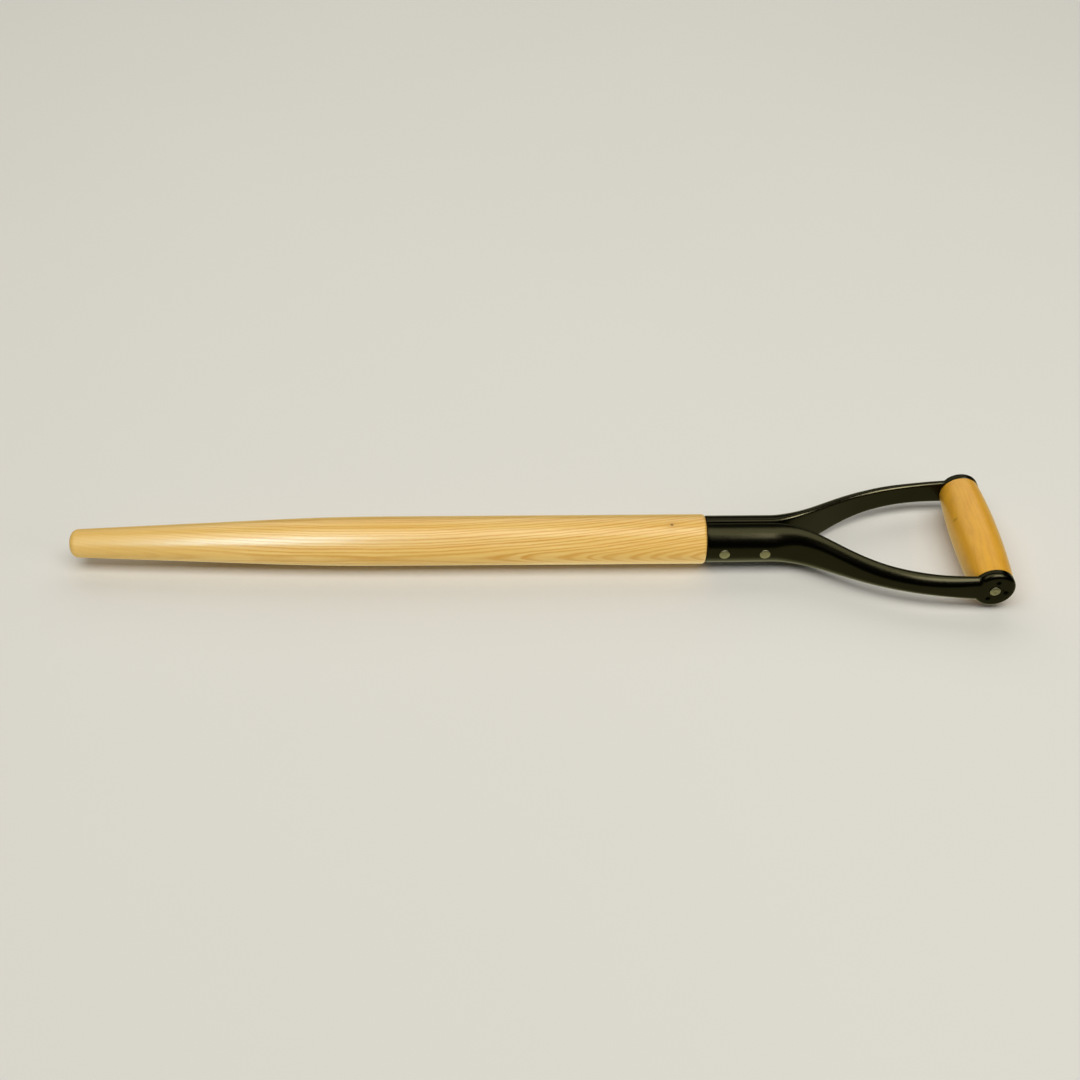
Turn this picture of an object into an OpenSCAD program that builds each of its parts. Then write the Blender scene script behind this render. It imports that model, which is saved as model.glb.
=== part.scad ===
// Tapered D-grip tool handle: a turned ash shaft, a two-piece pressed-steel yoke
// riveted onto its upper end, and a turned wooden grip held between the yoke's eyes.
// The handle lies along +X with the middle of its tip end at the origin.
// The grip runs along Y, and +Z is square to the plane of the D.

/* [Shaft] */
// Distance from the tip end to the shoulder, where the ferrule begins
shoulder_x = 486; // [440:1:520]
// Diameter of the parallel barrel
shaft_d = 38.1; // [37:0.1:42]
// Diameter that the taper would have at the tip end if the tip were not rounded
tip_d = 21.5; // [18:0.1:26]
// Distance from the tip end at which the taper would reach the barrel's diameter
taper_len = 198; // [150:1:240]
// Length of barrel and taper that the curve between them takes up, on each side
taper_blend = 46; // [10:1:60]
// Radius that rounds the tip
tip_round = 5.5; // [2:0.5:8]
// Radius that rounds the shoulder's edge
shoulder_round = 2.5; // [1:0.5:3]

/* [Ferrule] */
// Outside diameter of the ferrule
ferrule_d = 35.6; // [35:0.1:36.6]
// Thickness of the steel sheet
sheet = 2.5; // [2.3:0.1:3]
// Radius of the rounded lips along the seam
lip_round = 2.4; // [1.6:0.1:2.6]
// Distance from the mouth over which the ferrule stays fully round
round_len = 12; // [5:1:40]
// How much flatter the ferrule has become underneath where the arms start
flattening = 0.8; // [0:0.1:1.2]
// Length of the wooden tenon inside the ferrule
tenon_len = 52; // [50:1:53]
// Distances of the two rivets from the shoulder
rivet_at = [13.7, 44.4];
// Diameter of the ferrule rivets' shanks
rivet_d = 5.5; // [4:0.1:6.5]
// Diameter of the ferrule rivets' heads
rivet_head_d = 8; // [7.5:0.1:10]

/* [Arms] */
// Distance from the shoulder to the grip's axis
grip_at = 208.6; // [204:0.1:214]
// Distance from the ferrule's mouth to where the arms start to part
arm_at = 52.5; // [52:0.5:56]
// Half of an arm's height where it meets its eye
arm_half_height = 10; // [8.5:0.1:10.5]
// Radius of the hollow between an arm's edge and its eye
neck_r = 3; // [2:0.5:6]

/* [Eyes and grip] */
// Outside radius of the round eye at the end of each arm
eye_r = 15.5; // [15.3:0.1:17]
// Distance from the handle's centre line to the outer face of an eye
eye_face = 59.3; // [56:0.1:61]
// Depth of the eye, across the D
eye_depth = 7.4; // [6.5:0.1:9]
// Radius that rounds the eye's outer edge
eye_edge = 3.4; // [0.8:0.1:3.8]
// Diameter of the grip at its middle
grip_d = 35.2; // [32:0.1:38]
// Diameter of the grip where it meets an eye
grip_end_d = 30.4; // [28:0.1:30.6]
// Diameter of the long rivet through the grip
grip_rivet_d = 6; // [5:0.1:7]
// Diameter of the long rivet's heads
grip_rivet_head_d = 7.8; // [7.4:0.1:10]
// Distance of the punched spurs from the grip's axis
spur_r = 8.3; // [7.5:0.1:9.5]

/* [Hidden] */
$fn = 96;

ash = [0.87, 0.73, 0.45];
birch = [0.86, 0.66, 0.33];
black_paint = [0.05, 0.05, 0.045];
bright_steel = [0.72, 0.72, 0.68];

gap = 0.1;                              // clearance between neighbouring pieces
tenon_r = ferrule_d / 2 - sheet - gap;
tenon_chamfer = 1.5;
mouth_x = shoulder_x + 0.3;             // the ferrule's mouth stands just off the shoulder
grip_x = shoulder_x + grip_at;
eye_inner = eye_face - eye_depth;       // where an eye's rim meets the grip
cup_wall = 2.2;
cup_r = eye_r - cup_wall;               // inside of the cup that takes the grip's end
cup_floor = eye_face - cup_wall;
neck_run = sqrt(pow(eye_r + neck_r, 2) - pow(arm_half_height + neck_r, 2));
neck_turn = asin(neck_run / (eye_r + neck_r));
spur_angles = [84, -12, -117];          // round the grip's axis, 0 towards +X
spur_depth = 1.6;
spur_mouth_r = 1.7;

// Points along an arc of radius r about c, from angle a to angle b in n steps
function arc(c, r, a, b, n, first = 0) =
    [for (i = [first:n]) c + r * [cos(a + (b - a) * i / n), sin(a + (b - a) * i / n)]];

// Point at t, from 0 to 1, on the cubic curve with the four control points p
function curve(p, t) =
    pow(1 - t, 3) * p[0] + 3 * pow(1 - t, 2) * t * p[1] + 3 * (1 - t) * t * t * p[2] + pow(t, 3) * p[3];

// Unit direction of that curve in the plane of the D
function heading(p, t) =
    let (d = pow(1 - t, 2) * (p[1] - p[0]) + 2 * (1 - t) * t * (p[2] - p[1]) + t * t * (p[3] - p[2]))
    [d.x, d.y] / norm([d.x, d.y]);

// Upper half of a section through a yoke half: thickness w, height h, outer corner of radius ro
// and a lip at the inner corner. With a large outer corner it is a quarter of a disc.
function half_outline(w, h, ro, lip) =
    let (out = [w - ro, h - ro])
    let (lapped = out.x < lip)
    let (in_y = lapped ? out.y + sqrt(pow(ro - lip, 2) - pow(lip - out.x, 2)) : h - lip)
    let (turn = lapped ? atan2(in_y - out.y, lip - out.x) : 90)
    concat(arc(out, ro, 0, turn, 8), arc([lip, in_y], lip, turn, 180, 5, first = 1));

// Sections of the yoke: x, y, thickness, height above and below, top and bottom outer radius
function outline(s) =
    let (w = s[2] - gap / 2)
    let (top = half_outline(w, s[3], s[5], lip_round))
    let (bottom = half_outline(w, s[4], s[6], lip_round))
    concat(top, [for (i = [len(bottom) - 1:-1:0]) [bottom[i].x, -bottom[i].y]]);

// The outline of section s, stood across the direction dir
function ring(s, dir) =
    let (n = [-dir.y, dir.x])
    let (inner = [s.x, s.y] - n * (s[2] - gap) / 2)
    [for (q = outline(s)) [inner.x + n.x * q.x, inner.y + n.y * q.x, q.y]];

ferrule_r = ferrule_d / 2;
corner = ferrule_r - 0.3;               // outer radius that makes a half of the ferrule
mouth = [mouth_x, ferrule_r / 2, ferrule_r, ferrule_r, ferrule_r, corner, corner];
round_end = mouth + [round_len, 0, 0, 0, 0, 0, 0];
// An arm follows a cubic curve from the first of these to the last, pulled by the two between
arm = [
    mouth + [arm_at, 0, 0, 0, -flattening, 0, -flattening],
    [grip_x - 112.9, 10.3, 3, 22.4, 18.5, 7.5, 5.7],
    [grip_x - 102, eye_inner + 3, 14.3, 5.1, 6, 13.5, 13.7],
    [grip_x - neck_run, eye_inner + eye_depth / 2, eye_depth, arm_half_height + 0.9, arm_half_height, 8, 4]
];
ferrule_steps = 5;
arm_steps = 26;
neck_steps = 4;

// Section of the ferrule at t, from 0 where it is still round to 1 where the arms start
function ferrule_section(t) =
    let (settled = t * t * (3 - 2 * t))
    let (s = round_end + settled * (arm[0] - round_end))
    [round_end.x + t * (arm[0].x - round_end.x), s.y, s[2], s[3], s[4], s[5], s[6]];

// Section of the neck, where the arm's edges swing out through the angle a to meet the eye
function neck_section(a) =
    let (rise = neck_r * (1 - cos(a)))
    arm[3] + [neck_r * sin(a), 0, 0, rise, rise, 0, 0];

module shaft() {
    half_angle = atan((shaft_d - tip_d) / 2 / taper_len);
    blend_r = taper_blend / tan(half_angle / 2);
    tip_c = [tip_round, tip_d / 2 + tip_round * tan(half_angle) - tip_round / cos(half_angle)];
    profile = concat(
        [[0, 0]],
        arc(tip_c, tip_round, 180, 90 + half_angle, 8),
        arc([taper_len + taper_blend, shaft_d / 2 - blend_r], blend_r, 90 + half_angle, 90, 12),
        arc([shoulder_x - shoulder_round, shaft_d / 2 - shoulder_round], shoulder_round, 90, 0, 6),
        [[shoulder_x, tenon_r],
         [shoulder_x + tenon_len - tenon_chamfer, tenon_r],
         [shoulder_x + tenon_len, tenon_r - tenon_chamfer],
         [shoulder_x + tenon_len, 0]]
    );
    color(ash)
    difference() {
        rotate([0, 90, 0]) rotate_extrude() polygon([for (p = profile) [p.y, p.x]]);
        for (at = rivet_at) rivet_hole(shoulder_x + at);
    }
}

module rivet_hole(x) {
    translate([x, -ferrule_d, 0]) rotate([-90, 0, 0]) cylinder(d = rivet_d + gap, h = 2 * ferrule_d);
}

// A closed skin through the sections of the far yoke half, solid inside
module arm_skin() {
    rings = concat(
        [ring(mouth, [1, 0])],
        [for (i = [0:ferrule_steps - 1]) ring(ferrule_section(i / ferrule_steps), [1, 0])],
        [for (i = [0:arm_steps]) ring(curve(arm, i / arm_steps), heading(arm, i / arm_steps))],
        [for (i = [1:neck_steps]) ring(neck_section(neck_turn * i / neck_steps), [1, 0])]
    );
    m = len(rings[0]);
    last = len(rings) - 1;
    sides = [for (i = [0:last - 1]) for (j = [0:m - 1])
        let (a = i * m + j, b = i * m + (j + 1) % m)
        each [[a, b + m, b], [a, a + m, b + m]]];
    ends = [for (j = [1:m - 2])
        each [[0, j, j + 1], [last * m, last * m + j + 1, last * m + j]]];
    polyhedron([for (r = rings) for (p = r) p], concat(sides, ends), convexity = 4);
}

// The round eye: a shallow cup whose floor is the eye's outer face
module eye() {
    profile = concat(
        [[0, cup_floor], [cup_r, cup_floor], [cup_r, eye_inner], [eye_r, eye_inner]],
        arc([eye_r - eye_edge, eye_face - eye_edge], eye_edge, 0, 90, 8),
        [[0, eye_face]]
    );
    translate([grip_x, 0, 0]) rotate([-90, 0, 0]) rotate_extrude() polygon(profile);
}

module spur_mark(angle, y, r, depth) {
    translate([grip_x + spur_r * cos(angle), y, spur_r * sin(angle)])
    rotate([90, 0, 0]) cylinder(r1 = r, r2 = 0, h = depth);
}

module far_half_solid() {
    cavity_end = shoulder_x + tenon_len + 0.5;
    difference() {
        union() {
            arm_skin();
            eye();
        }
        translate([mouth_x - 1, 0, 0]) rotate([0, 90, 0])
            cylinder(r = tenon_r + gap, h = cavity_end - mouth_x + 1);
        translate([grip_x, 0, 0]) rotate([-90, 0, 0]) cylinder(r = cup_r, h = cup_floor);
        translate([grip_x, 0, 0]) rotate([-90, 0, 0]) cylinder(d = grip_rivet_d + gap, h = eye_face + 1);
        for (at = rivet_at) rivet_hole(shoulder_x + at);
        for (angle = spur_angles) spur_mark(angle, eye_face, spur_mouth_r, spur_depth);
    }
}

module far_yoke_half() { color(black_paint) far_half_solid(); }
module near_yoke_half() { color(black_paint) mirror([0, 1, 0]) far_half_solid(); }

// A rivet across the ferrule: shank and two low domed heads shaped to the ferrule's curve
module ferrule_rivet(x) {
    head_r = rivet_head_d / 2;
    rim = ferrule_r + 0.35;
    crown = ferrule_r + 0.9;
    seat = ferrule_r + 0.12;
    dome_r = (pow(head_r, 2) + pow(crown - rim, 2)) / (2 * (crown - rim));
    dome_angle = asin(head_r / dome_r);
    head = concat(
        [[0, ferrule_r - 2], [head_r, ferrule_r - 2]],
        arc([0, crown - dome_r], dome_r, 90 - dome_angle, 90, 6)
    );
    color(bright_steel) translate([x, 0, 0]) {
        rotate([-90, 0, 0]) translate([0, 0, -ferrule_r]) cylinder(d = rivet_d, h = ferrule_d);
        for (side = [0, 1]) mirror([0, side, 0]) difference() {
            rotate([-90, 0, 0]) rotate_extrude() polygon(head);
            rotate([0, 90, 0]) cylinder(r = seat, h = 2 * rivet_head_d, center = true);
        }
    }
}

module ferrule_rivet_front() { ferrule_rivet(shoulder_x + rivet_at[0]); }
module ferrule_rivet_rear() { ferrule_rivet(shoulder_x + rivet_at[1]); }

// Barrel-shaped grip, bored lengthwise, with a reduced spigot in each cup
module grip() {
    half_len = eye_inner - gap;
    spigot_r = cup_r - gap;
    spigot_end = cup_floor - gap;
    belly = (grip_d - grip_end_d) / 2;
    belly_r = (pow(half_len, 2) + pow(belly, 2)) / (2 * belly);
    belly_angle = asin(half_len / belly_r);
    profile = concat(
        [[0, -spigot_end], [spigot_r, -spigot_end], [spigot_r, -half_len]],
        arc([grip_d / 2 - belly_r, 0], belly_r, -belly_angle, belly_angle, 24),
        [[spigot_r, half_len], [spigot_r, spigot_end], [0, spigot_end]]
    );
    color(birch) translate([grip_x, 0, 0]) difference() {
        rotate([-90, 0, 0]) rotate_extrude() polygon(profile);
        rotate([90, 0, 0]) cylinder(d = grip_rivet_d + 2 * gap, h = 2 * eye_face, center = true);
    }
}

// The long rivet through both eyes and the grip, with low dimpled heads
module grip_rivet() {
    head_r = grip_rivet_head_d / 2;
    head = [[0, eye_face], [head_r, eye_face], [head_r, eye_face + 0.4],
            [head_r - 1.2, eye_face + 1], [1.6, eye_face + 1], [1, eye_face + 0.6], [0, eye_face + 0.6]];
    color(bright_steel) translate([grip_x, 0, 0]) {
        rotate([90, 0, 0]) cylinder(d = grip_rivet_d, h = 2 * eye_face + 0.2, center = true);
        for (side = [0, 1]) mirror([0, side, 0]) rotate([-90, 0, 0]) rotate_extrude() polygon(head);
    }
}

shaft();
near_yoke_half();
far_yoke_half();
ferrule_rivet_front();
ferrule_rivet_rear();
grip();
grip_rivet();
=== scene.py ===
"""Looks of a tapered D-grip tool handle: turned ash shaft, black pressed-steel yoke, wooden grip.

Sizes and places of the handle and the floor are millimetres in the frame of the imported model,
and become metres when a mesh is made. Lights and the camera are placed in metres. The shaft
runs along X from the middle of its tip end, the grip runs along Y, and Z is square to the D.
"""
import bpy
import bmesh
import math
from collections import namedtuple
from mathutils import Matrix, Vector, noise


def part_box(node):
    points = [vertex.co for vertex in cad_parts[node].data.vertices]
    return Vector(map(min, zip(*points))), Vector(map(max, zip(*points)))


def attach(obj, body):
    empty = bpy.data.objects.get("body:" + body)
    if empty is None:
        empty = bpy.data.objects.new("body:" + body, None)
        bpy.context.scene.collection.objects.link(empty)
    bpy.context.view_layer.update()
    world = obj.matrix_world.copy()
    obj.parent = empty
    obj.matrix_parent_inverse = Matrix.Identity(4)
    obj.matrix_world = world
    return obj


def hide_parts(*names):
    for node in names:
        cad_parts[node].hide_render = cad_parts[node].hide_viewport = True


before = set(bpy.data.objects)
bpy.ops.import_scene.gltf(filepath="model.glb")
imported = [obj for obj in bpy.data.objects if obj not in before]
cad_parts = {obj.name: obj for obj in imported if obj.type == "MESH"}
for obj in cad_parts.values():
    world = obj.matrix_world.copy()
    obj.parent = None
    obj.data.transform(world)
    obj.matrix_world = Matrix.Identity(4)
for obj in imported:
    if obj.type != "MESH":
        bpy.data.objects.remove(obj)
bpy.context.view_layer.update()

MM = 0.001
WELD = 1e-4                      # points closer than this, in mm, become one
SLIVER = 0.003 * MM              # edges shorter than this, in m, are closed up after a cut
SHARP = 35.0                     # edges that turn by more than this, in degrees, look sharp
RIVET_SHARP = 50.0               # the same for the rivets


# ---------------------------------------------------------------- sizes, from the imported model
def box_mm(node):
    low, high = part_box(node)
    return [v / MM for v in low], [v / MM for v in high]


def middle_x(node):
    low, high = box_mm(node)
    return (low[0] + high[0]) / 2


SHAFT_HIGH = box_mm("shaft")[1]
YOKE_LOW, YOKE_HIGH = box_mm("far_yoke_half")
RIVET_LOW, RIVET_HIGH = box_mm("ferrule_rivet_front")
GRIP_HIGH = box_mm("grip")[1]
PIN_HIGH = box_mm("grip_rivet")[1]

TURNED_FIT = 0.1                 # gap between turned wood and the steel around it
HOLE_FIT = 0.05                  # gap between a hole and its rivet's shank
SEAM = 0.05                      # half of the gap between the two pressings

# The shaft
BARREL_R = SHAFT_HIGH[2]
MOUTH_X = YOKE_LOW[0]            # where the ferrule begins
SHOULDER_X = MOUTH_X - 0.3
TENON_END = SHAFT_HIGH[0]
TENON_CHAMFER = 1.5
TIP_R = 10.75                    # radius the taper would have at the tip end
TAPER_LEN = 198.0                # where the taper would meet the barrel
TAPER_BLEND = 46.0               # how far the curve between them reaches each way
TAPER_SLOPE = (BARREL_R - TIP_R) / TAPER_LEN
TIP_ROUND = 5.5
SHOULDER_ROUND = 2.5

# The ferrule and its rivets
FERRULE_R = 17.8
SHEET = 2.5
BORE_R = FERRULE_R - SHEET
TENON_R = BORE_R - TURNED_FIT
RIVET_X = [middle_x("ferrule_rivet_front"), middle_x("ferrule_rivet_rear")]
RIVET_HEAD_R = (RIVET_HIGH[0] - RIVET_LOW[0]) / 2
RIVET_SHANK_R = 2.75

# The grip, the eyes that hold it, and the pin, which is the long rivet through all three
GRIP_X = middle_x("grip")
GRIP_R = GRIP_HIGH[2]
GRIP_END_R = 15.2
EYE_R = YOKE_HIGH[0] - GRIP_X
PIN_PROUD = 1.0                  # how far the pin's heads stand out of the eyes
EYE_FACE = PIN_HIGH[1] - PIN_PROUD
EYE_DEPTH = 7.4
EYE_INNER = EYE_FACE - EYE_DEPTH
EYE_MIDDLE = EYE_FACE - EYE_DEPTH / 2
EYE_SHEET = 2.2                  # thickness of the steel around the cup in an eye's inner side
CUP_R = EYE_R - EYE_SHEET
CUP_FLOOR = EYE_FACE - EYE_SHEET
PIN_HEAD_R = PIN_HIGH[2]
PIN_R = 3.0
PIN_AT = (GRIP_X, 0, 0)


# ---------------------------------------------------------------- geometry helpers
def arc(centre, radius, start, end, steps, first=0):
    """Points on an arc, angles in degrees."""
    points = []
    for i in range(first, steps + 1):
        a = math.radians(start + (end - start) * i / steps)
        points.append((centre[0] + radius * math.cos(a), centre[1] + radius * math.sin(a)))
    return points


def ease(t):
    """Goes from 0 to 1 as t does, starting and ending gently."""
    t = min(1.0, max(0.0, t))
    return t * t * (3 - 2 * t)


def between(start, end, t):
    """The numbers part way from those in start to those in end."""
    return [a + (b - a) * t for a, b in zip(start, end)]


def finish_mesh(name, bm, sharp=SHARP):
    """Turns a bmesh in millimetres into a smooth-shaded object in metres."""
    bmesh.ops.remove_doubles(bm, verts=bm.verts, dist=WELD)
    bmesh.ops.recalc_face_normals(bm, faces=bm.faces)
    closed = all(edge.is_manifold for edge in bm.edges)
    if closed and bm.calc_volume(signed=True) < 0:
        bmesh.ops.reverse_faces(bm, faces=bm.faces)
    bmesh.ops.scale(bm, vec=(MM, MM, MM), verts=bm.verts)
    mesh = bpy.data.meshes.new(name)
    bm.to_mesh(mesh)
    bm.free()
    mesh.shade_smooth()
    mesh.set_sharp_from_angle(angle=math.radians(sharp))
    obj = bpy.data.objects.new(name, mesh)
    bpy.context.scene.collection.objects.link(obj)
    return obj


def skin(bm, rings, loop=False):
    """Faces between neighbouring rings of equal length; a loop joins the last to the first."""
    made = [[bm.verts.new(p) for p in ring] for ring in rings]
    pairs = list(zip(made, made[1:]))
    if loop:
        pairs.append((made[-1], made[0]))
    for a, b in pairs:
        for j in range(len(a)):
            k = (j + 1) % len(a)
            bm.faces.new((a[j], a[k], b[k], b[j]))
    return made


def lathe(name, profile, axis, offset=(0, 0, 0), segments=128, shape=None, loop=False, sharp=SHARP):
    """Turns (distance along the axis, radius) about X or Y. shape(a, angle, r) may adjust a point."""
    bm = bmesh.new()
    rings = []
    for a, r in profile:
        ring = []
        for j in range(segments):
            angle = 2 * math.pi * j / segments
            along, radius = (a, r) if shape is None else shape(a, angle, r)
            c, s = radius * math.cos(angle), radius * math.sin(angle)
            p = (along, c, s) if axis == "X" else (c, along, s)
            ring.append(tuple(p[i] + offset[i] for i in range(3)))
        rings.append(ring)
    skin(bm, rings, loop)
    return finish_mesh(name, bm, sharp)


def drop_slivers(mesh):
    """Splits faces of many corners into triangles, and closes up faces too thin to see."""
    bm = bmesh.new()
    bm.from_mesh(mesh)
    bmesh.ops.dissolve_degenerate(bm, dist=SLIVER, edges=bm.edges)
    bmesh.ops.triangulate(bm, faces=[face for face in bm.faces if len(face.verts) > 4])
    bmesh.ops.dissolve_degenerate(bm, dist=SLIVER, edges=bm.edges)
    bm.to_mesh(mesh)
    bm.free()


def cut(obj, cutters):
    """Takes the cutters out of obj and removes them."""
    for cutter in cutters:
        modifier = obj.modifiers.new("cut", "BOOLEAN")
        modifier.operation = "DIFFERENCE"
        modifier.solver = "MANIFOLD"
        modifier.object = cutter
    graph = bpy.context.evaluated_depsgraph_get()
    mesh = bpy.data.meshes.new_from_object(obj.evaluated_get(graph))
    obj.modifiers.clear()
    obj.data = mesh
    drop_slivers(mesh)
    mesh.shade_smooth()
    mesh.set_sharp_from_angle(angle=math.radians(SHARP))
    for cutter in cutters:
        bpy.data.objects.remove(cutter)


def rod(axis, radius, start, end, offset=(0, 0, 0), segments=64, end_radius=None):
    """A plain cutting cylinder or cone along X or Y."""
    last = radius if end_radius is None else end_radius
    profile = [(start, 0.0), (start, radius), (end, last), (end, 0.0)]
    return lathe("cutter", profile, axis, offset, segments)


# ---------------------------------------------------------------- shaft
SHAFT_WAVE = 0.07                # height of the waves that sanding leaves on the shaft
SHAFT_WAVE_LEN = 55.0
KNOT_X = 459.5
KNOT_ANGLE = math.radians(77.6)  # up from the near side
KNOT_DEPTH = 0.3
KNOT_SPREAD = 0.9
KNOT_REACH = 2.5                 # the knot's dimple ends at this distance


def taper_radius(x):
    """Radius of the shaft's side at x, before the tip and the shoulder are rounded."""
    start, end = TAPER_LEN - TAPER_BLEND, TAPER_LEN + TAPER_BLEND
    if x <= start:
        return TIP_R + TAPER_SLOPE * x
    if x >= end:
        return BARREL_R
    return BARREL_R - TAPER_SLOPE * (end - x) ** 2 / (4 * TAPER_BLEND)


def turned_shape(a, angle, r):
    """Slight unevenness that sanding leaves on turned wood, and the dimple of a pin knot."""
    if r < 1:
        return a, r
    # The waves die away towards the middle of the ends
    p = Vector((a / SHAFT_WAVE_LEN, 1.3 * math.cos(angle), 1.3 * math.sin(angle)))
    r += SHAFT_WAVE * noise.noise(p) * min(1, r / 8)
    around = math.atan2(math.sin(angle), -math.cos(angle)) - KNOT_ANGLE
    far = math.hypot(a - KNOT_X, r * around)
    if far < KNOT_REACH and r > TENON_R + 1:
        r -= KNOT_DEPTH * math.exp(-(far / KNOT_SPREAD) ** 2)
    return a, r


def make_shaft():
    lean = math.atan(TAPER_SLOPE)
    tip_centre = (TIP_ROUND, TIP_R + TAPER_SLOPE * TIP_ROUND - TIP_ROUND / math.cos(lean))
    profile = [(0, 0), (0, tip_centre[1] / 2)]
    profile += arc(tip_centre, TIP_ROUND, 180, 90 + math.degrees(lean), 14)
    side_start = tip_centre[0] - TIP_ROUND * math.sin(lean)
    side_end = SHOULDER_X - SHOULDER_ROUND
    ring_step = 1.6
    steps = round((side_end - side_start) / ring_step)
    for i in range(1, steps):
        x = side_start + (side_end - side_start) * i / steps
        profile.append((x, taper_radius(x)))
    profile += arc((side_end, BARREL_R - SHOULDER_ROUND), SHOULDER_ROUND, 90, 0, 10)
    tenon_side = TENON_END - TENON_CHAMFER - SHOULDER_X
    steps = round(tenon_side / 4)
    profile += [(SHOULDER_X + tenon_side * i / steps, TENON_R) for i in range(steps + 1)]
    profile += [(TENON_END, TENON_R - TENON_CHAMFER), (TENON_END, TENON_R / 2), (TENON_END, 0)]
    shaft = lathe("ash_shaft", profile, "X", segments=168, shape=turned_shape)
    span = 2 * FERRULE_R
    cut(shaft, [rod("Y", RIVET_SHANK_R + HOLE_FIT, -span, span, (x, 0, 0)) for x in RIVET_X])
    return shaft


# ---------------------------------------------------------------- yoke
ARM_HALF_HEIGHT = 10.0           # where an arm meets its eye
ARM_RISE = 0.9                   # how much higher an arm's end stands above the middle than below
ARM_START = MOUTH_X + 52.5
NECK_R = 3.0                     # hollow between an arm's edge and its eye
NECK_RUN = math.sqrt((EYE_R + NECK_R) ** 2 - (ARM_HALF_HEIGHT + NECK_R) ** 2)
NECK_TURN = math.asin(NECK_RUN / (EYE_R + NECK_R))
LIP_R = 2.4
ROUND_LEN = 12.0                 # how far from its mouth the ferrule stays fully round
FLATTENING = 0.8                 # how much flatter it is underneath where the arms start
DISC_R = FERRULE_R - 0.3         # corner radius that makes a section all but half a disc
# How far back from the mouth, and by how much the rolled edge is drawn in there
MOUTH_ROLL = [(0.0, 0.55), (0.12, 0.25), (0.35, 0.08), (0.7, 0.0)]
STRAIGHT = (1, 0)                # heading along the shaft

# A section of a yoke half has its middle at x and y, reaches so far above and below the plane
# of the D, and has these radii at the top and bottom corners of its outer side
Section = namedtuple("Section", "x y thick above below top_r bottom_r")
FERRULE = Section(MOUTH_X, FERRULE_R / 2, FERRULE_R, FERRULE_R, FERRULE_R, DISC_R, DISC_R)
ARM_BASE = FERRULE._replace(x=ARM_START, below=FERRULE_R - FLATTENING, bottom_r=DISC_R - FLATTENING)
# The arm runs along a cubic curve between the first and last of these, pulled by the middle two
ARM = [
    ARM_BASE,
    Section(GRIP_X - 112.9, 10.3, 3.0, 22.4, 18.5, 7.5, 5.7),
    Section(GRIP_X - 102.0, EYE_INNER + 3.0, 14.3, 5.1, 6.0, 13.5, 13.7),
    Section(GRIP_X - NECK_RUN, EYE_MIDDLE, EYE_DEPTH, ARM_HALF_HEIGHT + ARM_RISE, ARM_HALF_HEIGHT,
            8.0, 4.0),
]
# The sections at the arm's end, the eye's top and the eye's far end, each with its lip's radius
EYE_CORE = (ARM[3].x, EYE_MIDDLE, EYE_DEPTH, ARM_HALF_HEIGHT, ARM_HALF_HEIGHT)
ARM_END = (*ARM[3], LIP_R)
EYE_TOP = (*EYE_CORE, 4.5, 2.8, 0.8)
EYE_END = (*EYE_CORE, 3.4, 3.4, 0.8)

SPUR_ANGLES = [math.radians(a) for a in (84, -12, -117)]
SPUR_R = 8.3                     # distance of the punched spurs from the pin
SPUR_CORNERS = (2.4, 1.7, 1.7)   # how far the corners of a spur's mark lie from its middle
SPUR_DEPTH = 1.7
PIN_SET_DEPTH = 0.5              # the countersink around the pin's heads
PIN_SET_FLARE = 1.1
PAST = 3.0                       # how far a cutter reaches past what it cuts


def on_curve(t):
    """Section at t from 0 to 1 along the arm, and its heading in the plane of the D."""
    weights = [(1 - t) ** 3, 3 * (1 - t) ** 2 * t, 3 * (1 - t) * t * t, t ** 3]
    section = Section(*[sum(w * p[i] for w, p in zip(weights, ARM)) for i in range(7)])
    pull = [(1 - t) ** 2, 2 * (1 - t) * t, t * t]
    dx, dy = [sum(pull[k] * (ARM[k + 1][i] - ARM[k][i]) for k in range(3)) for i in (0, 1)]
    length = math.hypot(dx, dy)
    return section, (dx / length, dy / length)


def quarter(thick, height, outer_r, lip_r):
    """(across, up) from the middle of the outer face, over the top, to the middle of the inner."""
    outer_r = min(outer_r, height * 0.98)
    outer = (thick - outer_r, height - outer_r)
    if outer[0] < lip_r:
        # The lip's arc lies inside the outer corner's and touches it
        lip_up = outer[1] + math.sqrt((outer_r - lip_r) ** 2 - (lip_r - outer[0]) ** 2)
        turn = math.degrees(math.atan2(lip_up - outer[1], lip_r - outer[0]))
    else:
        lip_up = height - lip_r
        turn = 90
    points = [(thick, 0.0)]
    points += arc(outer, outer_r, 0, turn, 26)
    points += arc((lip_r, lip_up), lip_r, turn, 180, 12, first=1)
    points += [(0.0, lip_up * (1 - i / 5)) for i in range(1, 6)]
    return points


def ring(section, heading, lip_r, edge, normal):
    """A ring of points around a yoke half.

    edge is how far along the heading and how much higher the section's top is put, and normal
    points out of that edge. The bottom mirrors it.
    """
    across = (-heading[1], heading[0])
    half_thick = section.thick / 2 - SEAM
    base = (section.x - across[0] * half_thick, section.y - across[1] * half_thick)
    sides = [(1, section.above, section.top_r), (-1, section.below, section.bottom_r)]
    halves = []
    for side, height, outer_r in sides:
        half = []
        for q, up in quarter(section.thick - SEAM, height, outer_r, lip_r):
            along = edge[0] - normal[0] * (height - up)
            z = side * (height + edge[1] - normal[1] * (height - up))
            half.append((base[0] + across[0] * q + heading[0] * along,
                         base[1] + across[1] * q + heading[1] * along, z))
        halves.append(half)
    return halves[0] + halves[1][-2:0:-1]


def plain_ring(section, heading):
    return ring(section, heading, LIP_R, (0, 0), (0, 1))


def eye_ring(a, edge, start, end, t):
    """A ring fanned about the eye's middle at the angle a, part way from one section to another."""
    *section, lip_r = between(start, end, ease(t))
    return ring(Section(*section), STRAIGHT, lip_r, edge, (-math.sin(a), math.cos(a)))


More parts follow.
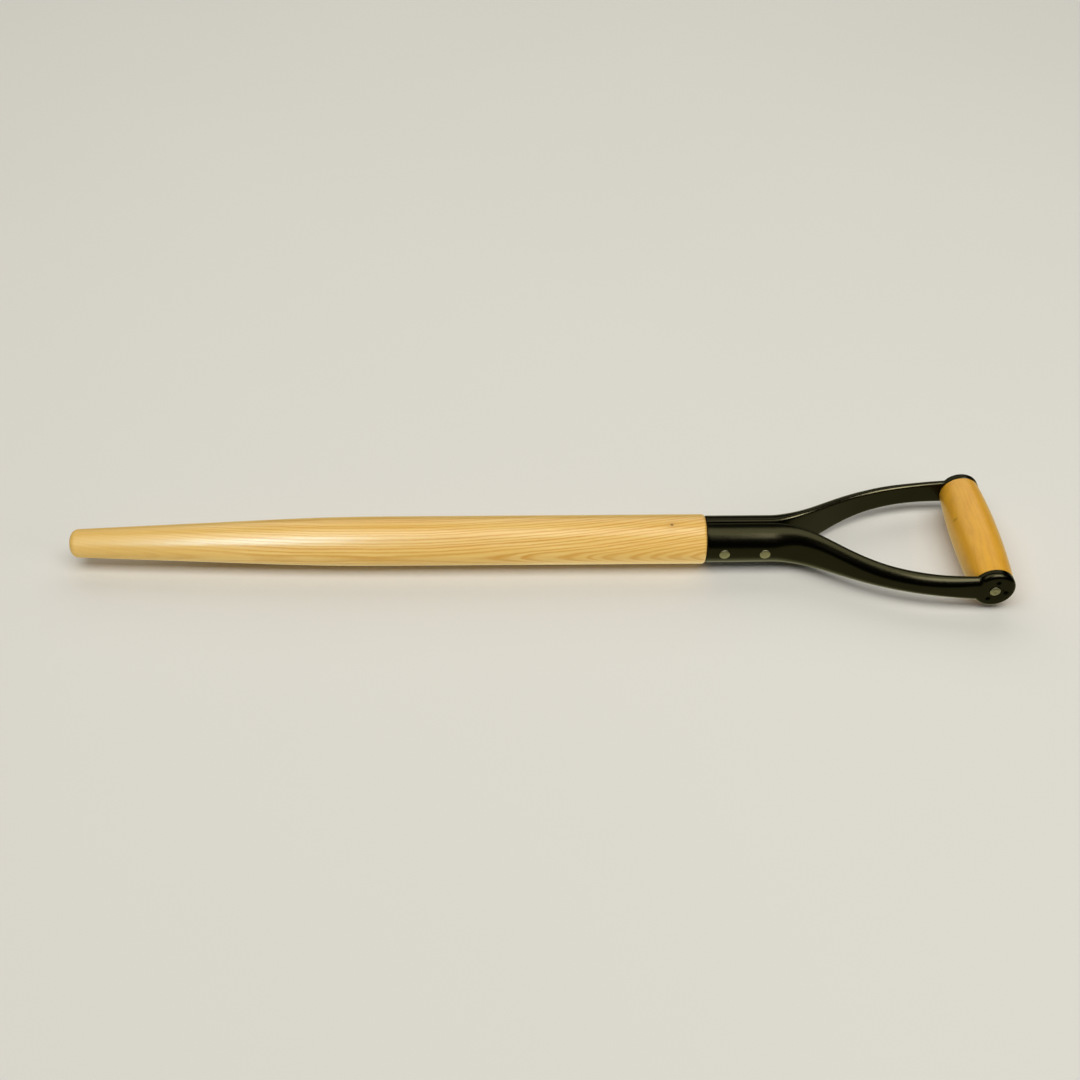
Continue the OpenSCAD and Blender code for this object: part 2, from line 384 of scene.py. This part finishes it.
def mouth_rings():
    """The rings of the rolled edge at the ferrule's mouth."""
    rings = []
    for back, inset in MOUTH_ROLL:
        drawn_in = [size - inset for size in FERRULE[2:]]
        section = Section(MOUTH_X + back, FERRULE.y - inset / 2, *drawn_in)
        rings.append(plain_ring(section, STRAIGHT))
    return rings


def ferrule_rings():
    """The rings of the ferrule, which flattens a little underneath on its way to the arms."""
    rings = []
    steps = 36
    start = MOUTH_X + MOUTH_ROLL[-1][0]
    for i in range(1, steps):
        x = start + (ARM_START - start) * i / steps
        settled = ease((x - MOUTH_X - ROUND_LEN) / (ARM_START - MOUTH_X - ROUND_LEN))
        section = Section(*between(FERRULE, ARM_BASE, settled))
        rings.append(plain_ring(section._replace(x=x), STRAIGHT))
    return rings


def eye_rings():
    """The rings of the hollow neck at the arm's end, and of the round eye past it."""
    rings = []
    steps = 12
    for i in range(1, steps + 1):
        a = NECK_TURN * i / steps
        edge = (NECK_R * math.sin(a), NECK_R * (1 - math.cos(a)))
        rings.append(eye_ring(a, edge, ARM_END, EYE_TOP, i / steps))
    steps = 44
    for i in range(1, steps + 1):
        a = NECK_TURN + (-math.pi / 2 - NECK_TURN) * i / steps
        edge = (NECK_RUN - EYE_R * math.sin(a), EYE_R * math.cos(a) - ARM_HALF_HEIGHT)
        rings.append(eye_ring(a, edge, EYE_TOP, EYE_END, i / steps))
    return rings


def soften(rings, first, last, times):
    """Eases the rings from first to last into one another, so that no crease crosses them."""
    for _ in range(times):
        before = list(rings)
        for i in range(first, last):
            trio = zip(before[i - 1], before[i], before[i + 1])
            rings[i] = [tuple((a + 2 * b + c) / 4 for a, b, c in zip(*points)) for points in trio]


def yoke_rings():
    rings = mouth_rings() + ferrule_rings()
    joint = len(rings)
    steps = 120
    rings += [plain_ring(*on_curve(i / steps)) for i in range(steps + 1)]
    soften(rings, joint - 14, joint + 14, times=10)
    return rings + eye_rings()


def spur_cutter(angle):
    """A three-sided punch mark in the eye's face, with its point inside the sheet."""
    bm = bmesh.new()
    cx, cz = GRIP_X + SPUR_R * math.cos(angle), SPUR_R * math.sin(angle)
    mouth = []
    for k, r in enumerate(SPUR_CORNERS):
        a = angle + math.radians(120 * k)
        mouth.append(bm.verts.new((cx + r * math.cos(a), EYE_FACE + 0.3, cz + r * math.sin(a))))
    point = bm.verts.new((cx, EYE_FACE - SPUR_DEPTH, cz))
    bm.faces.new(mouth)
    for k in range(3):
        bm.faces.new((mouth[k], mouth[(k + 1) % 3], point))
    return finish_mesh("cutter", bm)


def make_yoke_half(name, side):
    """side is 1 for the far half, at +Y, and -1 for the near half."""
    bm = bmesh.new()
    made = skin(bm, yoke_rings())
    # Closes the mouth's end; the eye's last ring is flat, and closes when its points are welded
    bm.faces.new(made[0])
    half = finish_mesh(name, bm)
    cutters = [
        rod("X", BORE_R, MOUTH_X - PAST, TENON_END + 0.5, segments=160),
        rod("Y", CUP_R, EYE_INNER - PAST, CUP_FLOOR, PIN_AT, segments=96),
        rod("Y", PIN_R + HOLE_FIT, CUP_FLOOR - PAST, EYE_FACE + PAST, PIN_AT),
        rod("Y", PIN_HEAD_R, EYE_FACE - PIN_SET_DEPTH, EYE_FACE + 0.1, PIN_AT,
            end_radius=PIN_HEAD_R + PIN_SET_FLARE),
    ]
    cutters += [rod("Y", RIVET_SHANK_R + HOLE_FIT, 1, FERRULE_R + PAST, (x, 0, 0)) for x in RIVET_X]
    cutters += [spur_cutter(a) for a in SPUR_ANGLES]
    cut(half, cutters)
    if side < 0:
        half.data.transform(Matrix.Diagonal((1, -1, 1, 1)))
        half.data.flip_normals()
    return half


# ---------------------------------------------------------------- rivets
def make_ferrule_rivet(name, x):
    """Shank with a low domed head at each end, the heads' skirts following the ferrule's curve."""
    crown = 0.9                  # how far a head stands out at its middle
    rim = 0.42                   # and near its edge
    edge_r = 0.3

    def seated(a, angle, r):
        """Bends points at the ferrule's radius to its curve, and makes the domes a little uneven."""
        side = math.copysign(1, a)
        dz = r * math.sin(angle)
        if abs(a) == FERRULE_R:
            return side * (math.sqrt(FERRULE_R ** 2 - dz ** 2) + 0.02), r
        if a != 0:
            a += side * 0.05 * noise.noise(Vector((x + r * math.cos(angle), dz, side)) * 0.6)
        return a, r

    head = [(FERRULE_R + crown, 0.0)]
    for i in range(1, 9):
        r = RIVET_HEAD_R * 0.93 * i / 8
        head.append((FERRULE_R + crown - (crown - rim) * (r / RIVET_HEAD_R) ** 2.2, r))
    head += arc((FERRULE_R + rim - 0.35, RIVET_HEAD_R - edge_r), edge_r, 60, 0, 5)
    head += [(FERRULE_R, RIVET_HEAD_R - 0.02), (FERRULE_R, RIVET_SHANK_R)]
    profile = head + [(0.0, RIVET_SHANK_R)] + [(-a, r) for a, r in reversed(head)]
    return lathe(name, profile, "Y", (x, 0, 0), 48, shape=seated, sharp=RIVET_SHARP)


def make_grip_rivet():
    """The long rivet through both eyes; each head is a flattened cone with a small dimple."""
    edge_r = 0.3
    # How far the head stands out of the eye at each radius, from the dimple outwards
    crown = [(0.55, 0.0), (0.6, 0.5), (0.85, 1.1), (PIN_PROUD, 1.7), (0.98, 2.4), (0.72, PIN_HEAD_R - 0.8)]
    head = [(EYE_FACE + out, r) for out, r in crown]
    head += arc((EYE_FACE + 0.2, PIN_HEAD_R - edge_r), edge_r, 60, 0, 4)
    head += [(EYE_FACE, PIN_HEAD_R - 0.04), (EYE_FACE, PIN_R)]
    shank = [(EYE_FACE * k / 4, PIN_R) for k in (3, 2, 1, 0, -1, -2, -3)]
    profile = head + shank + [(-a, r) for a, r in reversed(head)]
    return lathe("grip_through_rivet", profile, "Y", PIN_AT, 48, sharp=RIVET_SHARP)


# ---------------------------------------------------------------- grip
GRIP_WAVE = 0.08                 # height of the waves that sanding leaves on the grip
GRIP_WAVE_LEN = 30.0


def grip_shape(a, angle, r):
    """Slight unevenness on the grip's outside."""
    if r < CUP_R + 0.5:
        return a, r
    p = Vector((1.1 * math.cos(angle) + 7, a / GRIP_WAVE_LEN, 1.1 * math.sin(angle)))
    return a, r + GRIP_WAVE * noise.noise(p)


def make_grip():
    """A barrel between the eyes, with a spigot at each end inside its cup, bored for the pin."""
    half = EYE_INNER - TURNED_FIT
    belly = GRIP_R - GRIP_END_R
    belly_r = (half ** 2 + belly ** 2) / (2 * belly)
    swing = math.degrees(math.asin(half / belly_r))
    side = [(y, x) for x, y in arc((GRIP_R - belly_r, 0), belly_r, -swing, swing, 60)]
    spigot = CUP_R - TURNED_FIT
    end = CUP_FLOOR - TURNED_FIT
    bore = PIN_R + TURNED_FIT
    profile = [(-end, bore), (-end, spigot), (-half, spigot)]
    profile += side
    profile += [(half, spigot), (end, spigot), (end, bore)]
    profile += [(end * k / 3, bore) for k in (2, 1, 0, -1, -2)]
    return lathe("wooden_grip", profile, "Y", PIN_AT, shape=grip_shape, loop=True)


# ---------------------------------------------------------------- materials
class Paint:
    """Builds one node material. Sockets are passed around, numbers are set as defaults."""

    def __init__(self, name):
        self.material = bpy.data.materials.new(name)
        self.material.use_nodes = True
        self.tree = self.material.node_tree
        self.tree.nodes.clear()
        self.surface = self.node("BsdfPrincipled")
        self.put(self.node("OutputMaterial").inputs[0], self.surface.outputs[0])
        in_metres = self.node("TexCoord").outputs["Object"]
        self.place = self.vector("SCALE", in_metres, scale=1 / MM)

    def node(self, kind):
        return self.tree.nodes.new("ShaderNode" + kind)

    def put(self, socket, value):
        if isinstance(value, bpy.types.NodeSocket):
            self.tree.links.new(value, socket)
        else:
            socket.default_value = value

    def math(self, operation, *values, clamp=False):
        node = self.node("Math")
        node.operation = operation
        node.use_clamp = clamp
        for socket, value in zip(node.inputs, values):
            self.put(socket, value)
        return node.outputs[0]

    def plus(self, base, value, times):
        """The base and so many times the value."""
        return self.math("ADD", base, self.math("MULTIPLY", value, times))

    def vector(self, operation, *values, scale=None):
        node = self.node("VectorMath")
        node.operation = operation
        for socket, value in zip(node.inputs, values):
            self.put(socket, value)
        if scale is not None:
            node.inputs["Scale"].default_value = scale
        return node.outputs["Value" if operation in ("LENGTH", "DISTANCE") else "Vector"]

    def split(self, vector):
        node = self.node("SeparateXYZ")
        self.put(node.inputs[0], vector)
        return node.outputs

    def from_axis(self, x, z):
        """Distance from the line along Y through x and z."""
        at_x, _, at_z = self.split(self.place)
        across = self.node("CombineXYZ")
        self.put(across.inputs["X"], self.math("SUBTRACT", at_x, x))
        self.put(across.inputs["Z"], self.math("SUBTRACT", at_z, z))
        return self.vector("LENGTH", across.outputs[0])

    def noise(self, cell, detail=2.0, rough=0.5, seed=(0, 0, 0)):
        """Noise from 0 to 1 whose features are about cell millimetres long in X, Y and Z."""
        at = self.vector("DIVIDE", self.vector("ADD", self.place, seed), cell)
        node = self.node("TexNoise")
        node.inputs["Scale"].default_value = 1.0
        node.inputs["Detail"].default_value = detail
        node.inputs["Roughness"].default_value = rough
        self.put(node.inputs["Vector"], at)
        return node.outputs[0]

    def ramp(self, value, stops):
        """Goes through the stops, each a value and what it becomes."""
        node = self.node("ValToRGB")
        self.put(node.inputs[0], value)
        elements = node.color_ramp.elements
        while len(elements) < len(stops):
            elements.new(0.5)
        for element, (place, grey) in zip(elements, stops):
            element.position = place
            element.color = (grey, grey, grey, 1)
        return node.outputs[0]

    def rise(self, value, start, end, low=0.0, high=1.0):
        """Goes from low to high while the value goes from start to end."""
        return self.ramp(value, [(start, low), (end, high)])

    def mix(self, factor, a, b):
        """Colour a where the factor is 0, and b where it is 1."""
        node = self.node("Mix")
        node.data_type = "RGBA"
        for socket, value in ((node.inputs[0], factor), (node.inputs[6], a), (node.inputs[7], b)):
            self.put(socket, (*value, 1) if isinstance(value, tuple) else value)
        return node.outputs[2]

    def spot(self, centre, radius):
        """1 at the centre, falling to 0 at the radius."""
        far = self.vector("DISTANCE", self.place, centre)
        return self.math("SUBTRACT", 1.0, self.math("DIVIDE", far, radius), clamp=True)

    def bump(self, height, distance):
        """Relief of so many millimetres where the height is 1."""
        node = self.node("Bump")
        node.inputs["Distance"].default_value = distance * MM
        self.put(node.inputs["Height"], height)
        return node.outputs[0]

    def set(self, **inputs):
        for name, value in inputs.items():
            self.put(self.surface.inputs[name.replace("_", " ")], value)


def growth_rings(paint, pith, bow, bow_x, width, wobble):
    """Place within a growth ring, from 0 to 1, and the ring's own random number.

    The rings are tubes around a line along X, at pith in Y and Z. They are narrowest at bow_x,
    and away from it they widen by bow times the square of the distance.
    """
    x, y, z = paint.split(paint.place)
    dy = paint.math("SUBTRACT", y, pith[0])
    dz = paint.math("SUBTRACT", z, pith[1])
    squares = paint.math("ADD", paint.math("POWER", dy, 2.0), paint.math("POWER", dz, 2.0))
    run = paint.math("SUBTRACT", x, bow_x)
    sag = paint.math("MULTIPLY", paint.math("MULTIPLY", run, run), bow)
    depth = paint.math("SUBTRACT", paint.math("SQRT", squares), sag)
    slow = paint.math("SUBTRACT", paint.noise((60, 14, 14)), 0.5)
    fine = paint.math("SUBTRACT", paint.noise((9, 2.2, 2.2), seed=(31, 7, 3)), 0.5)
    depth = paint.plus(paint.plus(depth, slow, wobble), fine, 0.5)
    count = paint.math("DIVIDE", depth, width)
    uneven = paint.node("TexNoise")
    uneven.noise_dimensions = "1D"
    uneven.inputs["Scale"].default_value = 0.55
    paint.put(uneven.inputs["W"], count)
    count = paint.plus(count, uneven.outputs[0], 1.6)
    own = paint.node("TexWhiteNoise")
    own.noise_dimensions = "1D"
    paint.put(own.inputs["W"], paint.math("FLOOR", count))
    return paint.math("FRACT", count), own.outputs[0]


def ash_material():
    cream = (0.790, 0.530, 0.165)
    honey = (0.750, 0.480, 0.122)
    straw = (0.83, 0.610, 0.220)
    ring_brown = (0.620, 0.300, 0.026)
    pore_brown = (0.50, 0.23, 0.035)
    worn_tan = (0.64, 0.40, 0.105)
    halo_brown = (0.55, 0.30, 0.08)
    knot_brown = (0.14, 0.06, 0.02)

    paint = Paint("lacquered_ash")
    within, own = growth_rings(paint, (-28.0, -1.5), bow=0.00035, bow_x=235.0, width=2.3, wobble=2.6)
    # Each ring is pale at first, and has a darker band towards its end
    band = paint.ramp(within, [(0.0, 0.25), (0.14, 0.0), (0.45, 0.05), (0.66, 0.7), (0.82, 1.0),
                               (0.94, 0.8), (1.0, 0.25)])
    band = paint.math("MULTIPLY", band, paint.plus(0.80, own, 0.20))
    patchy = paint.rise(paint.noise((45, 6, 6), 3, seed=(5, 60, 9)), 0.3, 0.62, low=0.7)
    band = paint.math("MULTIPLY", band, patchy)
    # The figure fades out towards the tip
    along = paint.math("DIVIDE", paint.split(paint.place)[0], SHOULDER_X)
    band = paint.math("MULTIPLY", band, paint.rise(along, 0.10, 0.32, low=0.25))
    pores = paint.rise(paint.noise((7, 0.42, 0.42), 3, 0.6), 0.52, 0.66)
    pores = paint.math("MULTIPLY", pores, paint.plus(0.22, band, 0.9))
    streak = paint.noise((70, 2.4, 2.4), 3, seed=(90, 2, 40))
    tone = paint.noise((130, 30, 30), seed=(12, 44, 70))

    colour = paint.mix(paint.rise(tone, 0.35, 0.65), cream, honey)
    colour = paint.mix(paint.rise(streak, 0.42, 0.7, high=0.55), colour, straw)
    colour = paint.mix(paint.math("MULTIPLY", band, 0.95), colour, ring_brown)
    colour = paint.mix(paint.math("MULTIPLY", pores, 0.34), colour, pore_brown)
    colour = paint.mix(paint.rise(along, 0.10, 0.26, low=0.45, high=0.0), colour, worn_tan)
    knot_at = (KNOT_X, -BARREL_R * math.cos(KNOT_ANGLE), BARREL_R * math.sin(KNOT_ANGLE))
    colour = paint.mix(paint.rise(paint.spot(knot_at, 7.0), 0.0, 1.0, high=0.4), colour, halo_brown)
    colour = paint.mix(paint.rise(paint.spot(knot_at, 1.9), 0.30, 0.62, high=0.8), colour, knot_brown)

    lathe_marks = paint.noise((0.9, 60, 60), 3, 0.7, seed=(3, 3, 3))
    wood = paint.plus(paint.math("MULTIPLY", lathe_marks, 0.5), pores, -0.8)
    lacquer = paint.math("ADD", paint.noise((14, 2.6, 2.6)), lathe_marks)
    # The lacquer is rubbed thin at the tip
    coat = paint.rise(along, 0.06, 0.22, low=0.2, high=0.9)
    paint.set(Base_Color=colour, Roughness=paint.plus(0.40, lathe_marks, 0.16),
              Normal=paint.bump(wood, 0.06), Coat_Weight=coat, Coat_Roughness=0.25,
              Coat_Normal=paint.bump(lacquer, 0.05), Specular_IOR_Level=0.35)
    return paint.material


def grip_material():
    """Wood whose grain runs along Y, so that its rings are counted from a line beside the grip."""
    amber = (0.75, 0.395, 0.028)
    dark_amber = (0.69, 0.345, 0.022)
    ring_brown = (0.48, 0.22, 0.020)
    pore_brown = (0.40, 0.19, 0.02)
    fleck_brown = (0.26, 0.14, 0.01)
    ring_width = 2.1
    fleck_at = (GRIP_X - 14.0, 9.7, 8.7)

    paint = Paint("lacquered_grip_wood")
    radius = paint.from_axis(GRIP_X + 55, -38.0)
    depth = paint.plus(radius, paint.noise((12, 55, 12)), 7.0)
    within = paint.math("FRACT", paint.math("DIVIDE", depth, ring_width))
    band = paint.ramp(within, [(0.0, 0.25), (0.3, 0.0), (0.75, 0.35), (0.93, 1.0), (1.0, 0.25)])
    mottle = paint.noise((7, 16, 7), 3, 0.6, seed=(8, 1, 5))
    pores = paint.rise(paint.noise((0.35, 4.5, 0.35), 3, 0.6, seed=(1, 9, 2)), 0.5, 0.68)
    colour = paint.mix(paint.rise(mottle, 0.35, 0.65), amber, dark_amber)
    colour = paint.mix(paint.math("MULTIPLY", band, 0.28), colour, ring_brown)
    colour = paint.mix(paint.math("MULTIPLY", pores, 0.16), colour, pore_brown)
    stretched = paint.vector("MULTIPLY", paint.vector("SUBTRACT", paint.place, fleck_at), (0.55, 1.6, 0.8))
    away = paint.math("DIVIDE", paint.vector("LENGTH", stretched), 2.4)
    colour = paint.mix(paint.math("SUBTRACT", 1.0, away, clamp=True), colour, fleck_brown)
    wood = paint.plus(paint.noise((2.6, 12, 2.6)), pores, -0.4)
    lacquer = paint.noise((3, 9, 3))
    paint.set(Base_Color=colour, Roughness=0.46, Normal=paint.bump(wood, 0.06), Coat_Weight=0.6,
              Coat_Roughness=0.30, Coat_Normal=paint.bump(lacquer, 0.04), Specular_IOR_Level=0.35)
    return paint.material


def black_paint_material():
    olive_black = (0.0170, 0.0165, 0.0085)
    paler_black = (0.0225, 0.0215, 0.0120)
    worn_brown = (0.055, 0.045, 0.028)
    face_black = (0.001, 0.001, 0.0005)
    # near black for the punch marks: painted shade in their dents
    punch_mark_shade = (0.001, 0.001, 0.001)

    paint = Paint("satin_black_paint")
    cloud = paint.noise((22, 12, 12), 3, 0.55)
    speckle = paint.noise((0.8, 0.8, 0.8), 2, 0.6, seed=(4, 4, 4))
    peel = paint.noise((2.4, 2.4, 2.4), seed=(9, 2, 6))
    rough = paint.plus(paint.plus(0.18, cloud, 0.07), speckle, 0.05)
    height = paint.plus(paint.math("MULTIPLY", peel, 0.8), speckle, 0.2)
    colour = paint.mix(cloud, olive_black, paler_black)
    # Paint wears thin and turns a little brown on the most exposed edges
    exposed = paint.rise(paint.node("NewGeometry").outputs["Pointiness"], 0.52, 0.60)
    chips = paint.rise(paint.noise((1.6, 1.6, 1.6), 4, 0.7, seed=(7, 7, 7)), 0.52, 0.66)
    worn = paint.math("MULTIPLY", paint.math("MULTIPLY", exposed, chips), 0.5)
    colour = paint.mix(worn, colour, worn_brown)
    # The eyes' faces are darker than the arms
    from_pin = paint.math("DIVIDE", paint.from_axis(GRIP_X, 0.0), 2 * EYE_R)
    on_eye = paint.rise(from_pin, 0.40, 0.62, low=1.0, high=0.0)
    colour = paint.mix(paint.math("MULTIPLY", on_eye, 0.15), colour, face_black)
    # Painted shade makes the marks that the punch leaves darker still, on top of their dents
    for angle in SPUR_ANGLES:
        for side in (-1, 1):
            mark_at = (GRIP_X + SPUR_R * math.cos(angle), side * EYE_FACE, SPUR_R * math.sin(angle))
            mark = paint.rise(paint.spot(mark_at, max(SPUR_CORNERS)), 0.0, 0.45)
            colour = paint.mix(mark, colour, punch_mark_shade)
    paint.set(Base_Color=colour, Metallic=1.0, Roughness=rough, Normal=paint.bump(height, 0.04),
              Specular_Tint=(0.70, 0.70, 0.68, 1.0))
    return paint.material


def rivet_material():
    steel_grey = (0.20, 0.19, 0.125)
    steel_pale = (0.34, 0.325, 0.215)

    paint = Paint("bright_rivet_steel")
    smear = paint.noise((1.2, 1.2, 1.2), 3, 0.6)
    grain = paint.noise((0.25, 0.25, 0.25), 2, 0.7, seed=(2, 8, 5))
    height = paint.plus(smear, grain, 0.3)
    paint.set(Base_Color=paint.mix(smear, steel_grey, steel_pale), Metallic=1.0,
              Roughness=paint.plus(0.30, grain, 0.25), Normal=paint.bump(height, 0.07))
    return paint.material


# ---------------------------------------------------------------- the handle
def stand_in(obj, node, material):
    """Puts the piece in the place of the CAD node."""
    obj.data.materials.clear()
    obj.data.materials.append(material)
    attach(obj, "root")
    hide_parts(node)


black = black_paint_material()
steel = rivet_material()
shaft = make_shaft()
stand_in(shaft, "shaft", ash_material())
near_yoke = make_yoke_half("near_yoke_pressing", -1)
far_yoke = make_yoke_half("far_yoke_pressing", 1)
stand_in(near_yoke, "near_yoke_half", black)
stand_in(far_yoke, "far_yoke_half", black)
for end, x in zip(("front", "rear"), RIVET_X):
    stand_in(make_ferrule_rivet(end + "_ferrule_rivet", x), "ferrule_rivet_" + end, steel)
grip = make_grip()
stand_in(grip, "grip", grip_material())
stand_in(make_grip_rivet(), "grip_rivet", steel)


# ---------------------------------------------------------------- floor, lights, camera, world
FLOOR_AT = (360.0, 0.0, -BARREL_R - 0.02)     # below the middle of the handle
FLOOR_HALF = 3000.0
SKY = (1.0, 0.97, 0.90)
SKY_SEEN = 0.70                  # the background's strength as the camera sees it
SKY_LIGHT = 0.02                 # and its strength as a light

WARM = (1.0, 0.955, 0.83)
BLUE = (0.45, 0.78, 1.05)
ROSE = (1.0, 0.94, 0.98)
OLIVE = (1.0, 0.97, 0.60)
MIDDLE = (0.36, 0.0, 0.0)        # of the handle

CAMERA_AIM = (0.3595, 0.0, 0.0)
CAMERA_DISTANCE = 1.004
CAMERA_ELEVATION = math.radians(42.9)
CAMERA_YAW = math.radians(0.28)
CAMERA_ROLL = math.radians(0.22)


def floor_material():
    """A pale floor that turns into the pale background well away from the handle."""
    pale = (0.75, 0.76, 0.78)
    paler = (0.775, 0.785, 0.805)
    no_colour = (0.0, 0.0, 0.0)

    paint = Paint("pale_floor")
    away = paint.vector("LENGTH", paint.vector("SUBTRACT", paint.place, (FLOOR_AT[0], 0.0, 0.0)))
    fade = paint.rise(paint.math("DIVIDE", away, FLOOR_HALF), 0.52, 0.85)
    colour = paint.mix(paint.noise((400, 400, 400)), pale, paler)
    paint.set(Base_Color=paint.mix(fade, colour, no_colour), Roughness=0.75,
              Emission_Color=(*SKY, 1.0), Emission_Strength=paint.math("MULTIPLY", fade, SKY_SEEN))
    return paint.material


def make_floor():
    bm = bmesh.new()
    x, y, z = FLOOR_AT
    corners = [(-1, -1), (1, -1), (1, 1), (-1, 1)]
    bm.faces.new([bm.verts.new((x + FLOOR_HALF * i, y + FLOOR_HALF * j, z)) for i, j in corners])
    floor = finish_mesh("floor", bm)
    floor.data.materials.append(floor_material())
    floor.visible_glossy = False


def softbox(name, place, aim, width, depth, watts, colour, lights=True, shines=True, only=None):
    """An area light that lights surfaces, is seen in reflections, or both; only lists what it reaches."""
    data = bpy.data.lights.new(name, "AREA")
    data.shape = "RECTANGLE"
    data.size, data.size_y = width, depth
    data.energy = watts
    data.color = colour
    light = bpy.data.objects.new(name, data)
    light.location = place
    light.rotation_mode = "QUATERNION"
    light.rotation_quaternion = (Vector(aim) - Vector(place)).to_track_quat("-Z", "Y")
    light.visible_camera = False
    light.visible_diffuse = lights
    light.visible_glossy = shines
    if only:
        reached = bpy.data.collections.new(name + "_reaches")
        for piece in only:
            reached.objects.link(piece)
        light.light_linking.receiver_collection = reached
    bpy.context.scene.collection.objects.link(light)


def make_lights():
    softbox("overhead", (0.36, -0.55, 2.60), (0.36, -0.1, 0.0), 4.6, 1.7, 76, WARM)
    softbox("back", (0.36, 2.0, 1.50), MIDDLE, 4.0, 1.6, 25, WARM)
    softbox("right_fill", (1.85, -0.8, 0.60), MIDDLE, 0.9, 0.9, 4, WARM, shines=False)
    softbox("front_fill", (0.20, -1.6, 0.40), (0.20, 0.0, 0.0), 1.2, 0.5, 10, WARM,
            shines=False, only=[shaft, near_yoke, far_yoke, grip])
    # Soft glows from under the handle
    softbox("glow", (0.36, 0.0, -0.30), MIDDLE, 4.0, 4.0, 33, OLIVE, lights=False)
    softbox("under_glow", (0.60, -0.01, -0.29), (0.60, -0.01, 0.0), 0.5, 0.22, 0.22, OLIVE, lights=False)
    # Shapes that shine in one piece each
    softbox("wood_shine", (-0.12, -0.64, 0.66), (0.10, 0.0, 0.0), 0.24, 0.6, 7.2, BLUE,
            lights=False, only=[shaft])
    softbox("near_shine", (0.86, -0.35, 0.50), (0.86, -0.20, 0.0), 0.44, 0.24, 3.5, ROSE,
            lights=False, only=[near_yoke])
    softbox("near_left_shine", (-0.06, -0.66, 0.66), (0.15, 0.0, 0.0), 0.26, 0.5, 0.3, ROSE,
            lights=False, only=[near_yoke])
    softbox("far_shine", (1.02, -0.20, 0.50), (0.68, 0.05, 0.0), 0.34, 0.30, 9.0, ROSE,
            lights=False, only=[far_yoke])


def make_camera():
    """Looks down on the middle of the handle from the near side, turned a hair off square."""
    right = Vector((math.cos(CAMERA_YAW), -math.sin(CAMERA_YAW), 0))
    back = Vector((-math.sin(CAMERA_YAW) * math.cos(CAMERA_ELEVATION),
                   -math.cos(CAMERA_YAW) * math.cos(CAMERA_ELEVATION),
                   math.sin(CAMERA_ELEVATION)))
    up = back.cross(right)
    side = math.cos(CAMERA_ROLL) * right - math.sin(CAMERA_ROLL) * up
    top = math.sin(CAMERA_ROLL) * right + math.cos(CAMERA_ROLL) * up
    rotation = Matrix((side, top, back)).transposed().to_4x4()
    data = bpy.data.cameras.new("camera")
    data.sensor_width = 36
    data.lens = 43.5
    data.clip_start = 0.05
    camera = bpy.data.objects.new("camera", data)
    camera.matrix_world = Matrix.Translation(Vector(CAMERA_AIM) + back * CAMERA_DISTANCE) @ rotation
    bpy.context.scene.collection.objects.link(camera)
    bpy.context.scene.camera = camera


def make_world():
    """A world that lights the handle hardly at all, but looks as pale as the floor."""
    world = bpy.data.worlds.new("studio")
    world.use_nodes = True
    nodes, links = world.node_tree.nodes, world.node_tree.links
    background = nodes["Background"]
    background.inputs["Color"].default_value = (*SKY, 1.0)
    strength = nodes.new("ShaderNodeMapRange")
    strength.inputs["To Min"].default_value = SKY_LIGHT
    strength.inputs["To Max"].default_value = SKY_SEEN
    links.new(nodes.new("ShaderNodeLightPath").outputs["Is Camera Ray"], strength.inputs["Value"])
    links.new(strength.outputs["Result"], background.inputs["Strength"])
    bpy.context.scene.world = world


make_floor()
make_lights()
make_camera()
make_world()
bpy.context.scene.view_settings.view_transform = "Standard"
